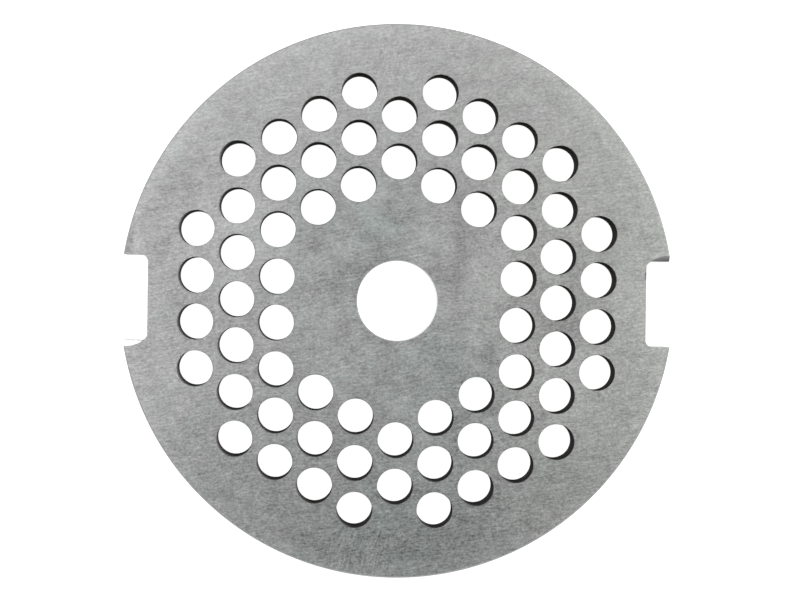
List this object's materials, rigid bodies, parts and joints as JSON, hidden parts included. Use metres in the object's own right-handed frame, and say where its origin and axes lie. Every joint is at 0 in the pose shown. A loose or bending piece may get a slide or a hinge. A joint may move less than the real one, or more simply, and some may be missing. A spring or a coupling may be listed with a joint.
{
  "type": "meat grinder plate",
  "caption": "Flat round perforated steel plate for a meat grinder, with a centre bore for the worm shaft and two key notches in the rim.",
  "frame": {"origin": "on the axis of the centre bore, at the outlet face that the plate lies on", "axes": "+Z along the centre bore and out of the cutting face, +X and -X through the middles of the two key notches"},
  "size_m": [0.0612, 0.062, 0.005],
  "materials": {
    "ground_steel": "hardened tool steel, both faces surface-ground, drilled holes left dark from heat treatment"
  },
  "bodies": {
    "root": {"perforated_plate": "ground_steel"}
  },
  "joints": []
}
